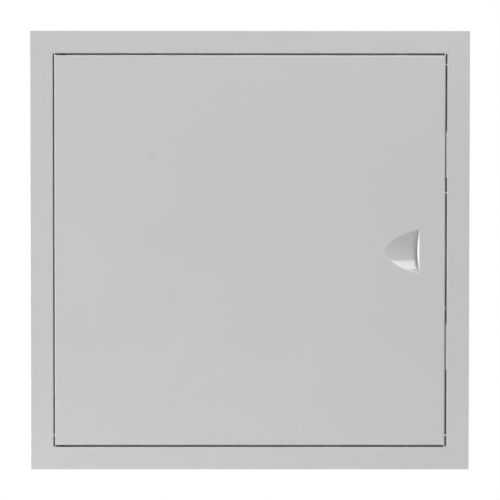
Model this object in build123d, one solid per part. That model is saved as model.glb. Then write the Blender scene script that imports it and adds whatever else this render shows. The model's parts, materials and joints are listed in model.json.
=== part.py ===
from build123d import *

import math
import os

# A flush steel access panel. X runs to the right, Z up, and the panel faces -Y. The wall face is Y = 0.
# The shapes are made about the middle of the panel and lifted at the end, so that the origin is the
# middle of the back of the bottom flange.

# Frame
frame_width = 440.0
frame_height = 440.0
frame_sheet = 0.8
flange_width = 22.5  # outer edge to the inside of the collar
collar_depth = 20.0  # wall face to the back of the rebate
rebate_width = 9.1
frame_bend = 0.3  # inside radius
rebate_slit = 0.7  # between a stile's rebate and the rail's rebate
rebate_end = 0.3  # a rail's rebate stops short of the collar
mitre_groove = 0.4  # opening of the welded mitre at its inner end
mitre_groove_length = 4.5
mitre_groove_depth = 0.5
latch_slit = 0.5
latch_slit_height = 58.5  # above and below the middle
fixing_hole = 5.0
fixing_depth = 14.0  # wall face to the hole's middle
fixing_spread = 300.0

# Leaf
leaf_gap = 1.7  # top, bottom and latch side
hinge_gap = 1.2
leaf_sheet = 0.8
leaf_depth = 10.0
leaf_lip = 10.0
leaf_bend = 0.8  # inside radius
corner_slit = 0.8

# Finger scoop
scoop_radius = 33.0
scoop_length = 34.6  # nose to the slit
scoop_slope = 14.0  # degrees
scoop_edge = 26.0  # slit to the edge of the leaf
scoop_drop = 0.5  # below the middle of the leaf
scoop_slit = 0.1
scoop_edge_round = 32.0  # radius in which the free edge draws back with depth
scoop_rim = 2.0
scoop_lip_round = 0.5

# Hinge
hinge_inset = 10.0  # edge of the leaf to the pin
hinge_setback = 4.5  # face of the leaf to the pin
pin_diameter = 4.0
tip_diameter = 3.0
pin_head_diameter = 6.4
pin_head_height = 1.5
pin_proud = 1.0  # tip beyond the collar
pin_clearance = 0.05
shoulder_clearance = 0.1
bracket_sheet = 1.5
bracket_width = 12.0
bracket_reach = 16.0  # edge of the leaf to the far side of the bracket
bracket_bend = 0.8

# Magnetic catches
catch_height = 96.6  # above and below the middle
catch_length = 47.0
catch_foot = 5.0  # beyond the body at each end
catch_foot_sheet = 2.0
catch_inset = 0.3  # from the rebate's edge
catch_round = 0.6
plate_sheet = 0.7  # between a catch and the collar
plate_setback = 2.0  # face of the leaf to the plate
plate_round = 1.5
pole_gap = 0.4  # pole plates to the closed leaf
pole_proud = 0.4
pole_sheet = 1.2
magnet_sheet = 2.6
magnet_sunk = 1.0  # below the pole plates
pocket_wall = 1.0  # floor of the housing, and its end walls doubled
pocket_clearance = 0.1
rivet_diameter = 2.4
rivet_clearance = 0.05
rivet_head = 4.4
rivet_head_height = 0.8
rivet_tail = 3.4
rivet_tail_height = 1.2

# Places that follow from the sizes
front = -frame_sheet
half_width = frame_width / 2
half_height = frame_height / 2
collar_x = half_width - flange_width
collar_z = half_height - flange_width
leaf_left = -collar_x + hinge_gap
leaf_right = collar_x - leaf_gap
leaf_z = collar_z - leaf_gap
leaf_back = front + leaf_depth
rebate_front = collar_depth - frame_sheet
hinge_x = leaf_left + hinge_inset
hinge_y = front + hinge_setback
pin_radius = pin_diameter / 2
tip_radius = tip_diameter / 2
slit_x = leaf_right - scoop_edge
nose_x = slit_x - scoop_length
catch_outer = collar_x - plate_sheet
catch_inner = collar_x - rebate_width + catch_inset
catch_x = (catch_outer + catch_inner) / 2
catch_foot_front = rebate_front - catch_foot_sheet
pole_front = leaf_back + pole_gap
catch_front = pole_front + pole_proud
rivet_reach = (catch_length + catch_foot) / 2
flange_flat = (half_height - frame_sheet / 2, collar_z + frame_sheet + frame_bend)
lift = sum(flange_flat) / 2  # origin to the middle of the panel
reach = 10.0  # how far cutting shapes run past the metal


def block(low, high):
    """Box between two corners."""
    size = [b - a for a, b in zip(low, high)]
    middle = [(a + b) / 2 for a, b in zip(low, high)]
    return Pos(*middle) * Box(*size)


def rod(start, end, radius):
    """Cylinder from one point to another."""
    a = Vector(*start)
    b = Vector(*end)
    plane = Plane(origin=a, z_dir=b - a)
    return plane * Cylinder(radius, (b - a).length, align=(Align.CENTER, Align.CENTER, Align.MIN))


def hinge_rod(low, high, radius):
    """Upright cylinder on the hinge's axis."""
    return rod((hinge_x, hinge_y, low), (hinge_x, hinge_y, high), radius)


def rivet_rod(z, start, end, radius):
    """Cylinder on a catch rivet's axis, from front to back."""
    return rod((catch_x, start, z), (catch_x, end, z), radius)


def folded_strip(corners, sheet, inside):
    """Section of a sheet folded along a line of corners in its middle, with rounded edges."""
    points = [Vector(*c) for c in corners]
    first = points[0] + (points[1] - points[0]).normalized() * sheet / 2
    last = points[-1] + (points[-2] - points[-1]).normalized() * sheet / 2
    mid = FilletPolyline(first, *points[1:-1], last, radius=inside + sheet / 2)
    return make_face(offset(mid, amount=sheet / 2, side=Side.BOTH, closed=True).edges())


def frame_length(half_out, half_along, rebate_half):
    """One side of the frame, along X with its outer edge at +Z, mitred at both ends."""
    inside = half_out - flange_width
    mid = frame_sheet / 2
    corners = [
        (half_out, front + mid),
        (inside + mid, front + mid),
        (inside + mid, collar_depth - mid),
        (inside - rebate_width, collar_depth - mid),
    ]
    section = Plane(origin=(0, 0, 0), x_dir=(0, 0, 1), z_dir=(-1, 0, 0)) * folded_strip(
        corners, frame_sheet, frame_bend
    )
    strip = extrude(section, half_along + reach, both=True)
    low = inside - rebate_width - reach
    outline = Polyline(
        (half_along + reach, half_out + reach),
        (half_along - half_out + low, low),
        (half_out - half_along - low, low),
        (-half_along - reach, half_out + reach),
        close=True,
    )
    face = Plane(origin=(0, 0, 0), x_dir=(1, 0, 0), z_dir=(0, -1, 0)) * make_face(outline)
    wedge = extrude(face, collar_depth + reach, both=True)
    fold = rebate_front - frame_bend
    everywhere = block((-half_along - reach, fold, low), (half_along + reach, collar_depth + reach, inside))
    kept = block((-rebate_half, fold, low), (rebate_half, collar_depth + reach, inside))
    side = (strip & wedge) - everywhere + (strip & kept)
    for x in (-fixing_spread / 2, fixing_spread / 2):
        side -= rod((x, fixing_depth, inside - reach), (x, fixing_depth, inside + reach), fixing_hole / 2)
    groove = Box(2 * mitre_groove_length, 2 * mitre_groove_depth, mitre_groove)
    corner = half_along - flange_width
    side -= Pos(corner, front, inside) * Rot(0, -45, 0) * groove
    side -= Pos(-corner, front, inside) * Rot(0, 45, 0) * groove
    return side


def frame_rail(up):
    """Top or bottom of the frame, with the hole for the hinge pin's tip."""
    rail = frame_length(half_height, half_width, collar_x - rebate_end)
    if not up:
        rail = Rot(0, 180, 0) * rail
    z = collar_z if up else -collar_z
    return rail - hinge_rod(z - reach, z + reach, tip_radius + pin_clearance)


def frame_stile(turn):
    """Left or right side of the frame, between the rebates of the rails."""
    stile = frame_length(half_width, half_height, collar_z - rebate_width - rebate_slit)
    return Rot(0, turn, 0) * stile


def latch_stile():
    """Right side, with two slits through the rebate and the holes for the catches' rivets."""
    stile = frame_stile(90)
    for z in (-latch_slit_height, latch_slit_height):
        stile -= block(
            (collar_x - rebate_width - reach, rebate_front - frame_bend, z - latch_slit / 2),
            (collar_x, collar_depth + reach, z + latch_slit / 2),
        )
    for middle in (-catch_height, catch_height):
        for z in (middle - rivet_reach, middle + rivet_reach):
            stile -= rivet_hole(z)
    return stile


def rivet_hole(z):
    """Hole for a rivet through a catch's foot and the rebate."""
    radius = rivet_diameter / 2 + rivet_clearance
    return rivet_rod(z, catch_foot_front - reach / 4, collar_depth + reach, radius)


def door_leaf():
    """Folded tray with returned lips, and the finger scoop pressed in its face."""
    radius = leaf_bend + leaf_sheet
    outer = block((leaf_left, front, -leaf_z), (leaf_right, leaf_back, leaf_z))
    outer = fillet(outer.edges().filter_by(Axis.Y, reverse=True), radius)
    s = leaf_sheet
    inner = block((leaf_left + s, front + s, -leaf_z + s), (leaf_right - s, leaf_back - s, leaf_z - s))
    inner = fillet(inner.edges().filter_by(Axis.Y, reverse=True), leaf_bend)
    window = block(
        (leaf_left + leaf_lip, leaf_back - leaf_depth / 2, -leaf_z + leaf_lip),
        (leaf_right - leaf_lip, leaf_back + reach, leaf_z - leaf_lip),
    )
    tray = outer - inner - window
    slot_reach = 2 * (leaf_lip + reach)
    for x in (leaf_left, leaf_right):
        for z in (-leaf_z, leaf_z):
            turn = 45 if x * z < 0 else -45
            slot = Box(slot_reach, leaf_depth, corner_slit)
            tray -= Pos(x, front + radius + leaf_depth / 2, z) * Rot(0, turn, 0) * slot
    hole_reach = leaf_lip / 2
    for z in (-leaf_z, leaf_z):
        tray -= hinge_rod(z - hole_reach, z + hole_reach, pin_radius + pin_clearance)
    return with_scoop(tray)


def with_scoop(tray):
    """The tray with a trough pressed in it: part of a leaning cylinder, cut free along a slit."""
    slope = math.radians(scoop_slope)
    along = Vector(math.cos(slope), math.sin(slope), 0)
    away = Vector(math.sin(slope), -math.cos(slope), 0)
    nose = Vector(nose_x, front, -scoop_drop)
    middle = nose + away * scoop_radius
    start = middle - along * 2 * scoop_length
    end = middle + along * 3 * scoop_length
    hollow = rod(start, end, scoop_radius)
    skin = rod(start, end, scoop_radius + leaf_sheet)
    far = 4 * scoop_radius
    behind = block((nose_x - far, front, -far), (slit_x + far, front + far, far))
    turn_x = slit_x - scoop_slit - scoop_edge_round
    before = block((nose_x - far, front, -far), (turn_x, front + far, far))
    before += rod((turn_x, front, -far), (turn_x, front, far), scoop_edge_round)
    shell = (skin - hollow) & behind & before
    open_part = hollow & block((nose_x - far, front - reach, -far), (slit_x, front + far, far))
    leaf = tray - open_part + shell
    rim = [
        e
        for e in leaf.edges()
        if abs(e.center().Y - front) < 0.01 and e.geom_type != GeomType.LINE and e.length > scoop_radius
    ]
    leaf = fillet(rim, scoop_rim)
    share = scoop_length * math.sin(slope) / scoop_radius
    half = scoop_radius * math.sqrt(2 * share - share**2) - scoop_rim
    low = -scoop_drop - half
    high = -scoop_drop + half
    r = scoop_lip_round
    sharp = block((slit_x - r, front - r, low), (slit_x + r, front + r, high))
    return leaf - (sharp - rod((slit_x + r, front + r, low), (slit_x + r, front + r, high), r))


def hinge_bracket(up):
    """Angle welded behind the face of the leaf, holding the inner end of a pin."""
    mid = bracket_sheet / 2
    far = leaf_z - bracket_reach + mid
    near = leaf_z - leaf_sheet - leaf_bend
    back = leaf_back - leaf_sheet - pin_clearance * 4
    face = front + leaf_sheet
    corners = [(near, face + mid), (far, face + mid), (far, back)]
    section = Plane(origin=(hinge_x, 0, 0), x_dir=(0, 0, 1), z_dir=(-1, 0, 0)) * folded_strip(
        corners, bracket_sheet, bracket_bend
    )
    bracket = extrude(section, bracket_width / 2, both=True)
    bracket -= hinge_rod(far - reach / 2, far + reach / 2, pin_radius + pin_clearance)
    return bracket if up else mirror(bracket, about=Plane.XY)


def hinge_pin(up):
    """Stepped pin: a head under the bracket, a body across the gap and a tip through the rail."""
    head_top = leaf_z - bracket_reach
    shoulder = collar_z - shoulder_clearance
    end = collar_z + frame_sheet + pin_proud
    head = hinge_rod(head_top - pin_head_height, head_top, pin_head_diameter / 2)
    body = hinge_rod(head_top, shoulder, pin_radius)
    tip = hinge_rod(shoulder, end, tip_radius)
    pin = head + body + tip
    return pin if up else mirror(pin, about=Plane.XY)


def catch_pocket(middle, spare):
    """Space for the magnet and its two plates, with some clearance round it."""
    half = magnet_sheet / 2 + pole_sheet + spare
    long = catch_length / 2 - 2 * pocket_wall + spare
    floor = rebate_front - pocket_wall + spare
    return block((catch_x - half, pole_front - reach, middle - long), (catch_x + half, floor, middle + long))


def catch_housing(middle):
    """Moulded housing with a foot at each end and a pocket open to the front."""
    half = catch_length / 2
    body = block((catch_inner, catch_front, middle - half), (catch_outer, rebate_front, middle + half))
    body = fillet(body.edges().filter_by(Axis.Y), catch_round)
    foot_half = half + catch_foot
    low = (catch_inner, catch_foot_front, middle - foot_half)
    high = (catch_outer, rebate_front, middle + foot_half)
    foot = block(low, high)
    foot = fillet(foot.edges().filter_by(Axis.Y), catch_round)
    housing = body + foot - catch_pocket(middle, pocket_clearance)
    for z in (middle - rivet_reach, middle + rivet_reach):
        housing -= rivet_hole(z)
    return housing


def catch_plate(middle):
    """Thin plate between a catch and the collar, which stands forward into the gap beside the leaf."""
    half = catch_length / 2
    low = (catch_outer, front + plate_setback, middle - half)
    high = (collar_x, rebate_front - frame_bend, middle + half)
    plate = block(low, high)
    return fillet(plate.edges().filter_by(Axis.X).group_by(Axis.Y)[0], plate_round)


def catch_magnet(middle):
    """Flat magnet standing between the pole plates, a little below their edges."""
    half = magnet_sheet / 2
    slab = block(
        (catch_x - half, pole_front + magnet_sunk, -2 * half_height),
        (catch_x + half, collar_depth, 2 * half_height),
    )
    return slab & catch_pocket(middle, 0)


def pole_plate(middle, side):
    """Steel plate on one side of the magnet."""
    near = catch_x + side * magnet_sheet / 2
    far = near + side * pole_sheet
    slab = block(
        (min(near, far), pole_front, -2 * half_height),
        (max(near, far), collar_depth, 2 * half_height),
    )
    return slab & catch_pocket(middle, 0)


def catch_rivet(z):
    """Rivet through a foot and the rebate, with a domed head in front and a flat tail behind."""
    radius = rivet_diameter / 2
    shank = rivet_rod(z, catch_foot_front, collar_depth, radius)
    dome = (rivet_head**2 / 4 + rivet_head_height**2) / (2 * rivet_head_height)
    ball = Pos(catch_x, catch_foot_front - rivet_head_height + dome, z) * Sphere(dome)
    cap = rivet_rod(z, catch_foot_front - rivet_head_height, catch_foot_front, rivet_head / 2)
    tail = rivet_rod(z, collar_depth, collar_depth + rivet_tail_height, rivet_tail / 2)
    return shank + (cap & ball) + tail


nodes = {
    "frame_top_rail": frame_rail(True),
    "frame_bottom_rail": frame_rail(False),
    "frame_hinge_stile": frame_stile(-90),
    "frame_latch_stile": latch_stile(),
    "door_leaf": door_leaf(),
    "hinge_pin_top": hinge_pin(True),
    "hinge_pin_bottom": hinge_pin(False),
    "hinge_bracket_top": hinge_bracket(True),
    "hinge_bracket_bottom": hinge_bracket(False),
}
for place, middle in (("upper", catch_height), ("lower", -catch_height)):
    nodes["catch_housing_" + place] = catch_housing(middle)
    nodes["catch_plate_" + place] = catch_plate(middle)
    nodes["catch_magnet_" + place] = catch_magnet(middle)
    nodes["catch_inner_pole_" + place] = pole_plate(middle, -1)
    nodes["catch_outer_pole_" + place] = pole_plate(middle, 1)
    nodes["catch_top_rivet_" + place] = catch_rivet(middle + rivet_reach)
    nodes["catch_bottom_rivet_" + place] = catch_rivet(middle - rivet_reach)

os.makedirs("parts", exist_ok=True)
for name, shape in nodes.items():
    export_step(Pos(0, 0, lift) * shape, "parts/" + name + ".step")
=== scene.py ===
import bmesh
import bpy
import json
import math
import numpy as np
from mathutils import Matrix, Vector


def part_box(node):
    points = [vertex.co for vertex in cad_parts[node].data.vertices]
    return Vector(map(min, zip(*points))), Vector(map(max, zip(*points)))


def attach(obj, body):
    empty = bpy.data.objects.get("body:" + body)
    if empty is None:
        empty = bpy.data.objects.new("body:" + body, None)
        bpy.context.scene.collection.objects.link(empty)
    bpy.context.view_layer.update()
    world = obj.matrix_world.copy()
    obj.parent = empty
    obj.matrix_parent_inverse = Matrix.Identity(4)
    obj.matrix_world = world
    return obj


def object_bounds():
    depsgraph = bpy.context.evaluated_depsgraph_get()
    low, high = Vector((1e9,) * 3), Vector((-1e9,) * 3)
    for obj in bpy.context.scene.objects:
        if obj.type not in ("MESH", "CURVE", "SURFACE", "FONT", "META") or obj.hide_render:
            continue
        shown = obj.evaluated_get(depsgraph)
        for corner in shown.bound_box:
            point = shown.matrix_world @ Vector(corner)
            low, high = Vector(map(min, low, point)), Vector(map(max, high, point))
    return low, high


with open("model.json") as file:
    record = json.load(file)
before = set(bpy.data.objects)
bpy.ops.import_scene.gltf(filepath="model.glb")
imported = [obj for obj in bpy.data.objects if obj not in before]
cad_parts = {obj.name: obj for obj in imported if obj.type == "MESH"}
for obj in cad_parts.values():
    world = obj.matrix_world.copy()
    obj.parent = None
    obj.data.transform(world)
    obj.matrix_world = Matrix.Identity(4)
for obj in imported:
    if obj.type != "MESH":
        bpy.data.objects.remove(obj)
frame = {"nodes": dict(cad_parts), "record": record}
cad_low, cad_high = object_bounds()
nodes = frame["nodes"]
mounts = {mount["name"]: mount for mount in frame["record"]["mounts"]}

# Places read from the frame, in metres. The panel faces -Y, and the wall face is Y = 0.
face_y = cad_low.y
sheet = -face_y
collar_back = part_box("frame_top_rail")[1].y
collar_out = mounts["latch_side_fixings"]["pos_m"][0]
collar_in = collar_out - sheet
panel_mid = Vector(((cad_low.x + cad_high.x) / 2, face_y, (cad_low.z + cad_high.z) / 2))
corners = [(sx, sz) for sx in (-1, 1) for sz in (-1, 1)]

# Photo camera
camera_distance = 1.8
camera_azimuth = math.radians(-0.158)
camera_elevation = math.radians(1.522)
camera_roll = 0.00045
camera_aim = Vector((-0.00005, 0, 0.00076))
photo_size = 500  # pixels
camera_focus = 1794.6  # pixels
film_width = 36.0  # millimetres

# Powder coat
coat_grey = (0.53, 0.53, 0.531)
coat_roughness = 0.10
peel_size = 0.0016
peel_depth = 0.000004


def add(tree, kind, inputs=None, **settings):
    """A shader node with its settings, and each input given a value or joined to another node's output."""
    node = tree.nodes.new("ShaderNode" + kind)
    for name, value in settings.items():
        setattr(node, name, value)
    for name, value in (inputs or {}).items():
        if isinstance(value, bpy.types.NodeSocket):
            tree.links.new(value, node.inputs[name])
        else:
            node.inputs[name].default_value = value
    return node


def new_group(name, inputs, outputs):
    """An empty shader group with its sockets, and the outputs of its input node."""
    tree = bpy.data.node_groups.new(name, "ShaderNodeTree")
    for socket, (kind, value) in inputs.items():
        made = tree.interface.new_socket(socket, in_out="INPUT", socket_type="NodeSocket" + kind)
        if value is not None:
            made.default_value = value
    for socket in outputs:
        tree.interface.new_socket(socket, in_out="OUTPUT", socket_type="NodeSocketFloat")
    return tree, tree.nodes.new("NodeGroupInput").outputs, tree.nodes.new("NodeGroupOutput").inputs


def coat_skin_group():
    """Sprayed powder: the ripple of its surface, slow changes of tone, and a finer haze in its gloss."""
    sockets = {"Vector": ("Vector", None), "Ripple": ("Float", 600.0)}
    tree, given, out = new_group("coat_skin", sockets, ("Height", "Tone", "Haze"))
    ripple = add(tree, "TexNoise", {"Vector": given["Vector"], "Scale": given["Ripple"], "Detail": 1.0})
    tone = add(tree, "TexNoise", {"Vector": given["Vector"], "Scale": 6.0, "Detail": 2.0})
    haze = add(tree, "TexNoise", {"Vector": given["Vector"], "Scale": 90.0, "Detail": 4.0})
    tree.links.new(ripple.outputs["Fac"], out["Height"])
    tree.links.new(tone.outputs["Fac"], out["Tone"])
    tree.links.new(haze.outputs["Fac"], out["Haze"])
    return tree


def spot_group():
    """A soft round spot about a place: 1 in its middle, 0 beyond its radius."""
    sockets = {"Vector": ("Vector", None), "Place": ("Vector", None), "Radius": ("Float", 0.001)}
    tree, given, out = new_group("coat_spot", sockets, ("Mask",))
    away = add(tree, "VectorMath", {0: given["Vector"], 1: given["Place"]}, operation="DISTANCE")
    spot = add(
        tree,
        "MapRange",
        {"Value": away.outputs["Value"], "From Min": given["Radius"], "From Max": 0.0},
        interpolation_type="SMOOTHSTEP",
    )
    tree.links.new(spot.outputs["Result"], out["Mask"])
    return tree


def grain_group():
    """Streaks drawn out along one direction, as rolling or turning leaves them, over a finer grit."""
    sockets = {"Vector": ("Vector", None), "Stretch": ("Vector", None)}
    tree, given, out = new_group("metal_grain", sockets, ("Streak", "Grit"))
    drawn = add(tree, "VectorMath", {0: given["Vector"], 1: given["Stretch"]}, operation="MULTIPLY")
    streak = add(tree, "TexNoise", {"Vector": drawn.outputs["Vector"], "Scale": 1.0, "Detail": 5.0})
    grit = add(tree, "TexNoise", {"Vector": given["Vector"], "Scale": 2500.0, "Detail": 3.0})
    tree.links.new(streak.outputs["Fac"], out["Streak"])
    tree.links.new(grit.outputs["Fac"], out["Grit"])
    return tree


coat_skin = coat_skin_group()
coat_spot = spot_group()
metal_grain = grain_group()


def new_material(name):
    """A material with its Principled shader, and the Object coordinates."""
    material = bpy.data.materials.new(name)
    material.use_nodes = True
    tree = material.node_tree
    return material, tree, tree.nodes["Principled BSDF"], add(tree, "TexCoord").outputs["Object"]


def place_group(tree, group, inputs):
    """One of the groups, put in a material with its own values."""
    return add(tree, "Group", inputs, node_tree=group).outputs


def shades(tree, amount, dark, light):
    """A colour between two, by an amount from 0 to 1."""
    mix = add(tree, "Mix", data_type="RGBA")
    for socket, value in ((0, amount), (6, dark), (7, light)):
        if isinstance(value, bpy.types.NodeSocket):
            tree.links.new(value, mix.inputs[socket])
        else:
            mix.inputs[socket].default_value = (*value, 1)
    return mix.outputs[2]


def spread(tree, value, low, high):
    """A noise value opened out from its usual middle stretch to the given range."""
    return add(
        tree, "MapRange", {"Value": value, "From Min": 0.3, "From Max": 0.7, "To Min": low, "To Max": high}
    ).outputs["Result"]


def bumped(tree, shader, height, depth):
    """Surface relief of the given depth in metres."""
    bump = add(tree, "Bump", {"Height": height, "Distance": depth, "Strength": 1.0})
    tree.links.new(bump.outputs["Normal"], shader.inputs["Normal"])


def tint(colour, factor):
    """A colour made lighter or darker by a factor."""
    return tuple(channel * factor for channel in colour)


def powder_coat(name, spots):
    """Semi-gloss light grey powder coat, with darker spots: place on the face, radius and shade of each."""
    material, tree, shader, where = new_material(name)
    skin = place_group(tree, coat_skin, {"Vector": where, "Ripple": 1 / peel_size})
    tone = spread(tree, skin["Tone"], 0, 1)
    colour = shades(tree, tone, tint(coat_grey, 0.985), tint(coat_grey, 1.015))
    for x, z, radius, shade in spots:
        place = (panel_mid.x + x, face_y, panel_mid.z + z)
        mask = place_group(tree, coat_spot, {"Vector": where, "Place": place, "Radius": radius})["Mask"]
        colour = shades(tree, mask, colour, tint(coat_grey, shade))
    tree.links.new(colour, shader.inputs["Base Color"])
    haze = spread(tree, skin["Haze"], coat_roughness - 0.02, coat_roughness + 0.02)
    tree.links.new(haze, shader.inputs["Roughness"])
    bumped(tree, shader, skin["Height"], peel_depth)
    return material


def bare_metal(name, colour, roughness, stretch):
    """Unpainted metal: streaked the way it was rolled or turned, a little uneven in tint and gloss."""
    material, tree, shader, where = new_material(name)
    grain = place_group(tree, metal_grain, {"Vector": where, "Stretch": stretch})
    streak = spread(tree, grain["Streak"], 0, 1)
    warm = (colour[0] * 1.04, colour[1], colour[2] * 0.93)
    tree.links.new(shades(tree, streak, tint(colour, 0.86), warm), shader.inputs["Base Color"])
    dullness = spread(tree, grain["Grit"], roughness - 0.06, roughness + 0.08)
    tree.links.new(dullness, shader.inputs["Roughness"])
    shader.inputs["Metallic"].default_value = 1
    bumped(tree, shader, grain["Streak"], 0.000008)
    return material


def moulded_plastic():
    """White plastic from a spark-eroded mould: a fine even grit, with slightly uneven gloss."""
    material, tree, shader, where = new_material("catch_plastic")
    grain = place_group(tree, metal_grain, {"Vector": where, "Stretch": (300, 300, 300)})
    cloud = spread(tree, grain["Streak"], 0, 1)
    tree.links.new(shades(tree, cloud, (0.76, 0.76, 0.73), (0.82, 0.82, 0.8)), shader.inputs["Base Color"])
    tree.links.new(spread(tree, grain["Grit"], 0.38, 0.5), shader.inputs["Roughness"])
    bumped(tree, shader, grain["Grit"], 0.00001)
    return material


def sintered_ferrite():
    """Dark ferrite: a dull charcoal with lighter grains, rough to the touch."""
    material, tree, shader, where = new_material("ferrite")
    grain = place_group(tree, metal_grain, {"Vector": where, "Stretch": (900, 900, 900)})
    speckle = spread(tree, grain["Grit"], 0, 1)
    tree.links.new(
        shades(tree, speckle, (0.022, 0.022, 0.024), (0.06, 0.06, 0.064)), shader.inputs["Base Color"]
    )
    tree.links.new(spread(tree, grain["Streak"], 0.5, 0.7), shader.inputs["Roughness"])
    bumped(tree, shader, grain["Streak"], 0.00003)
    return material


thin, nib = 0.965, 0.8  # shades of a thinly coated patch, and of a nib in the coat
leaf_spots = [
    (-0.0975, 0.0950, 0.008, thin), (-0.0790, -0.0445, 0.007, thin), (0.0175, -0.1755, 0.004, thin),
]
frame_spots = [
    (-0.1090, 0.2050, 0.0015, nib), (0.2035, -0.2035, 0.0018, nib), (-0.2110, 0.1980, 0.0014, nib),
]
leaf_coat = powder_coat("leaf_powder_coat", leaf_spots)
frame_coat = powder_coat("frame_powder_coat", frame_spots)
pin_black = bare_metal("pin_black", (0.045, 0.045, 0.047), 0.45, (150, 150, 9000))
pole_zinc = bare_metal("pole_zinc", (0.58, 0.58, 0.57), 0.34, (6000, 6000, 120))
rivet_aluminium = bare_metal("rivet_aluminium", (0.72, 0.72, 0.73), 0.36, (3000, 3000, 3000))
catch_plastic = moulded_plastic()
ferrite = sintered_ferrite()
finishes = {
    "frame_": frame_coat,
    "door_": leaf_coat,
    "hinge_bracket": leaf_coat,
    "hinge_pin": pin_black,
    "catch_housing": catch_plastic,
    "catch_plate": catch_plastic,
    "catch_magnet": ferrite,
    "catch_inner_pole": pole_zinc,
    "catch_outer_pole": pole_zinc,
    "catch_top_rivet": rivet_aluminium,
    "catch_bottom_rivet": rivet_aluminium,
}
for name, piece in nodes.items():
    for start, finish in finishes.items():
        if name.startswith(start):
            piece.data.materials.clear()
            piece.data.materials.append(finish)


def closed_skin(rings, first, last, offset):
    """Vertices and faces of one closed skin: rings of points in order, drawn to a point at each end."""
    rows, columns, _ = rings.shape
    points = np.vstack([rings.reshape(-1, 3), first, last])
    row = np.arange(rows - 1)[:, None] * columns
    here = np.arange(columns)[None, :]
    after = (here + 1) % columns
    below = row + columns
    quads = np.stack([row + here, row + after, below + after, below + here], -1).reshape(-1, 4)
    head = np.stack([np.full(columns, rows * columns), after[0], here[0]], -1)
    base = (rows - 1) * columns
    tail = np.stack([np.full(columns, rows * columns + 1), base + here[0], base + after[0]], -1)
    faces = (quads + offset).tolist() + (head + offset).tolist() + (tail + offset).tolist()
    return points, faces


def add_piece(name, skins, body, finish):
    """One object from closed skins of (rings, first point, last point), riding on a body."""
    points = []
    faces = []
    for rings, first, last in skins:
        offset = sum(len(part) for part in points)
        made, turned = closed_skin(rings, first, last, offset)
        points.append(made)
        faces += turned
    mesh = bpy.data.meshes.new(name)
    mesh.from_pydata(np.vstack(points).tolist(), [], faces)
    build = bmesh.new()
    build.from_mesh(mesh)
    bmesh.ops.recalc_face_normals(build, faces=build.faces)
    build.to_mesh(mesh)
    build.free()
    mesh.polygons.foreach_set("use_smooth", np.ones(len(mesh.polygons), bool))
    mesh.materials.append(finish)
    piece = bpy.data.objects.new(name, mesh)
    bpy.context.scene.collection.objects.link(piece)
    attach(piece, body)


def corner_weld(sx, sz):
    """Weld bead down an outer corner of the collar.

    Around the corner the bead's radius grows from its crown to its toes with the square of the angle, and
    past the toes it sinks into the sheet. Along the corner it swells and falls in scales bent back at the
    sides.
    """
    crown, toe, root = 0.0008, 0.0017, 0.0005
    scale_pitch, scale_height = 0.0013, 0.00012
    start, end = 0.0007, collar_back - 0.0006
    turn = np.linspace(-math.pi, math.pi, 40, endpoint=False)[None, :]
    run = np.linspace(0, 1, 90)[:, None]
    side = np.abs(turn) / math.radians(135)
    outside = crown + (toe - crown) * side**2
    sunk = toe + (root - toe) * np.minimum((side - 1) * 5, 1)
    radius = np.where(side <= 1, outside, sunk)
    y = start + (end - start) * run
    scales = scale_height * np.sin(2 * math.pi * y / scale_pitch + 1.8 * np.cos(turn)) * (side <= 1)
    ends = np.sqrt(1 - np.abs(2 * run - 1) ** 12)
    radius = (radius + scales * np.cos(turn / 3)) * (0.25 + 0.75 * ends)
    outward = radius * np.cos(turn) / math.sqrt(2)
    across = radius * np.sin(turn) / math.sqrt(2)
    x = panel_mid.x + sx * (collar_out + outward - across)
    z = panel_mid.z + sz * (collar_out + outward + across)
    rings = np.stack([x, np.broadcast_to(y, x.shape), z], -1)
    first = [panel_mid.x + sx * collar_out, start - 0.0002, panel_mid.z + sz * collar_out]
    last = [panel_mid.x + sx * collar_out, end + 0.0002, panel_mid.z + sz * collar_out]
    return rings, first, last


def corner_fill(sx, sz, fillet):
    """Dressed weld in an inner corner of the face.

    A section that rounds over from the flange's face into the collar, as the fold does, is carried round a
    quarter circle that touches the two collars, and closed behind through the sheet.
    """
    fold = 0.0011
    deep = 0.004
    proud = 0.00001
    over = np.linspace(0, math.pi / 2, 10)
    bent = fold * (1 - np.sin(over))
    drop = fold * (1 - np.cos(over))
    behind = np.array([[0.0, deep], [0.0004, deep], [0.0004, fold], [fold, 0.0004]])
    section = np.vstack([np.stack([bent, drop - proud], -1), behind])
    way = np.linspace(0, math.pi / 2, 16)[:, None]
    reach = fillet - proud + section[None, :, 0]
    x = collar_in - fillet + reach * np.cos(way)
    z = collar_in - fillet + reach * np.sin(way)
    y = np.broadcast_to(face_y + section[None, :, 1], x.shape)
    rings = np.stack([panel_mid.x + sx * x, y, panel_mid.z + sz * z], -1)
    return rings, rings[0].mean(0), rings[-1].mean(0)


def turned_spot(middle, facing, profile):
    """A small round form: radius and height pairs turned about the Y axis through its middle."""
    radius, height = np.array(profile[1:-1]).T
    turn = np.linspace(0, 2 * math.pi, 28, endpoint=False)[None, :]
    x = middle[0] + radius[:, None] * np.cos(turn)
    z = middle[2] + radius[:, None] * np.sin(turn)
    y = np.broadcast_to(middle[1] + facing * height[:, None], x.shape)
    first = [middle[0], middle[1] + facing * profile[0][1], middle[2]]
    last = [middle[0], middle[1] + facing * profile[-1][1], middle[2]]
    return np.stack([x, y, z], -1), first, last


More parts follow.
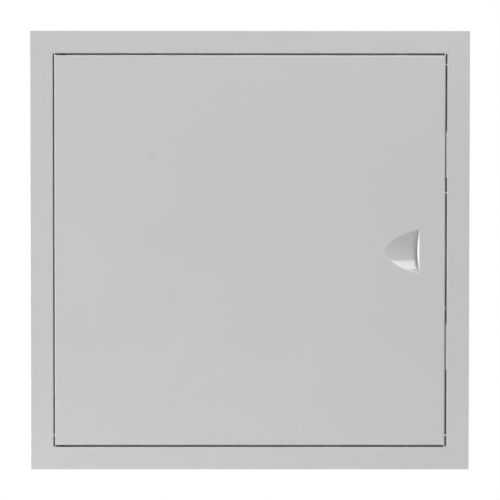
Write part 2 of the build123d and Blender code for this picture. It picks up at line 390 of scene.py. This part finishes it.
def spot_welds(bracket):
    """Two electrode marks on a bracket's foot: a low ring about a flat middle, sunk at its edge."""
    foot_sheet = 0.0015
    spacing = 0.0079
    profile = [
        (0, 0.00003), (0.0006, 0.00003), (0.0009, 0.00005), (0.0011, 0.00012), (0.0013, 0.00014),
        (0.0015, 0.00008), (0.0017, -0.00004), (0, -0.0004),
    ]
    low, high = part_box(bracket)
    middle = (low + high) / 2
    foot = low.y + foot_sheet
    return [turned_spot((middle.x + x, foot, middle.z), 1, profile) for x in (-spacing / 2, spacing / 2)]


def mandrel(rivet):
    """Broken pulling stem in a rivet's head: a stub in a small crater with a raised lip."""
    profile = [
        (0, 0.00014), (0.0002, 0.00013), (0.00038, 0.0001), (0.00042, 0.00002), (0.00047, -0.00001),
        (0.00054, 0.00003), (0.00064, 0.00005), (0.00076, 0.0), (0.0009, -0.0002), (0, -0.0004),
    ]
    low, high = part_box(rivet)
    middle = (low + high) / 2
    return turned_spot((middle.x, low.y, middle.z), -1, profile)


top_fillet, bottom_fillet = 0.0022, 0.0010
brackets = [name for name in nodes if name.startswith("hinge_bracket")]
rivets = [name for name in nodes if "_rivet_" in name]
collar_welds = [corner_weld(sx, sz) for sx, sz in corners]
face_welds = [corner_fill(sx, sz, top_fillet if sz > 0 else bottom_fillet) for sx, sz in corners]
bracket_welds = [spot for name in brackets for spot in spot_welds(name)]
stems = [mandrel(name) for name in rivets]
add_piece("collar_corner_welds", collar_welds, "frame", frame_coat)
add_piece("face_corner_welds", face_welds, "frame", frame_coat)
add_piece("bracket_spot_welds", bracket_welds, "leaf", leaf_coat)
add_piece("rivet_stems", stems, "frame", rivet_aluminium)


def soft_box(name, place, target, size, radiance, up=(0, 0, 1)):
    """A rectangular studio lamp facing a point, its height along up.

    Its power is its radiance times pi times its area.
    """
    lamp = bpy.data.lights.new(name, "AREA")
    lamp.shape = "RECTANGLE"
    lamp.size, lamp.size_y = size
    lamp.energy = radiance * math.pi * size[0] * size[1]
    holder = bpy.data.objects.new(name, lamp)
    bpy.context.scene.collection.objects.link(holder)
    facing = (Vector(target) - Vector(place)).normalized()
    side = facing.cross(Vector(up)).normalized()
    turn = Matrix((side, side.cross(facing), -facing)).transposed()
    holder.matrix_world = Matrix.Translation(place) @ turn.to_4x4()
    holder.visible_camera = False


def white_studio():
    """White surroundings: plain white where they are seen or mirrored.

    As light they are strongest straight in front of the panel and fade to little behind it.
    """
    front_light, back_light = 0.58, 0.12
    fade_end = 0.25  # share of the direction that points behind the panel
    world = bpy.data.worlds.new("white_studio")
    bpy.context.scene.world = world
    world.use_nodes = True
    tree = world.node_tree
    path = add(tree, "LightPath").outputs
    direct = {0: path["Is Camera Ray"], 1: path["Is Transmission Ray"]}
    seen = add(tree, "Math", direct, operation="MAXIMUM")
    seen = add(tree, "Math", {0: seen.outputs[0], 1: path["Is Glossy Ray"]}, operation="MAXIMUM")
    way = add(tree, "SeparateXYZ", {"Vector": add(tree, "TexCoord").outputs["Generated"]})
    fade = {"From Min": -1, "From Max": fade_end, "To Min": front_light, "To Max": back_light}
    light = add(tree, "MapRange", {"Value": way.outputs["Y"], **fade})
    strength = add(
        tree, "MapRange", {"Value": seen.outputs[0], "To Min": light.outputs["Result"], "To Max": 1.0}
    )
    tree.links.new(strength.outputs["Result"], tree.nodes["Background"].inputs["Strength"])
    tree.nodes["Background"].inputs["Color"].default_value = (1, 1, 1, 1)


def studio_floor():
    """A round pale floor below the panel, fading out at its edge. To the camera it is lifted to white."""
    drop, radius = 0.30, 1.4
    lift_light = 0.45
    turn = np.linspace(0, 2 * math.pi, 96, endpoint=False)
    ring = np.stack([radius * np.cos(turn), radius * np.sin(turn), np.full_like(turn, -drop)], -1)
    mesh = bpy.data.meshes.new("studio_floor")
    mesh.from_pydata(ring.tolist(), [], [list(range(len(ring)))])
    floor = bpy.data.objects.new("studio_floor", mesh)
    bpy.context.scene.collection.objects.link(floor)
    material, tree, shader, where = new_material("studio_floor")
    shader.inputs["Base Color"].default_value = (0.8, 0.8, 0.8, 1)
    shader.inputs["Roughness"].default_value = 0.9
    shader.inputs["Emission Color"].default_value = (1, 1, 1, 1)
    seen = add(tree, "LightPath").outputs["Is Camera Ray"]
    lift = add(tree, "Math", {0: seen, 1: lift_light}, operation="MULTIPLY")
    tree.links.new(lift.outputs[0], shader.inputs["Emission Strength"])
    away = add(tree, "VectorMath", {0: where}, operation="LENGTH")
    fade = add(
        tree, "MapRange", {"Value": away.outputs["Value"], "From Min": radius, "From Max": radius * 0.6}
    )
    tree.links.new(fade.outputs["Result"], shader.inputs["Alpha"])
    mesh.materials.append(material)


def photo_camera():
    """Camera at the photograph's place: straight in front, a little above the middle."""
    lens = bpy.data.cameras.new("photo_camera")
    lens.sensor_width = film_width
    lens.lens = film_width * camera_focus / photo_size
    holder = bpy.data.objects.new("photo_camera", lens)
    bpy.context.scene.collection.objects.link(holder)
    level = math.cos(camera_elevation)
    away = Vector(
        (math.sin(camera_azimuth) * level, -math.cos(camera_azimuth) * level, math.sin(camera_elevation))
    )
    place = panel_mid + away * camera_distance
    aim = (panel_mid + camera_aim - place).to_track_quat("-Z", "Y").to_matrix().to_4x4()
    holder.matrix_world = Matrix.Translation(place) @ aim @ Matrix.Rotation(camera_roll, 4, "Z")
    bpy.context.scene.camera = holder


bpy.context.scene.view_settings.view_transform = "Standard"
white_studio()
studio_floor()

# Lamps. The left and top ones graze the folds, the strip and the rim one are mirrored in the finger scoop,
# and the one behind shines through the slits of the rebate.
scoop = Vector((0.1586, 0.004, 0.197))
strip_lean = (-0.173, 0.693, 0.70)
bottom_edge = (-0.05, 0, 0)
soft_box("left_box", (-1.45, -0.42, 0.25), panel_mid, (1.2, 0.8), 4.2)
soft_box("top_box", (-0.15, -0.26, 1.65), panel_mid, (1.0, 0.30), 10.5)
soft_box("strip_box", (1.093, -1.133, 1.553), scoop, (0.30, 1.04), 5.6, strip_lean)
soft_box("rim_box", (0.79, -1.62, 1.15), scoop, (0.50, 0.55), 8.0)
soft_box("low_box", (-0.12, -0.25, -0.20), bottom_edge, (0.9, 0.25), 0.6)
soft_box("back_box", (0.0, 2.5, 0.1), panel_mid, (1.2, 1.6), 1.2)

photo_camera()
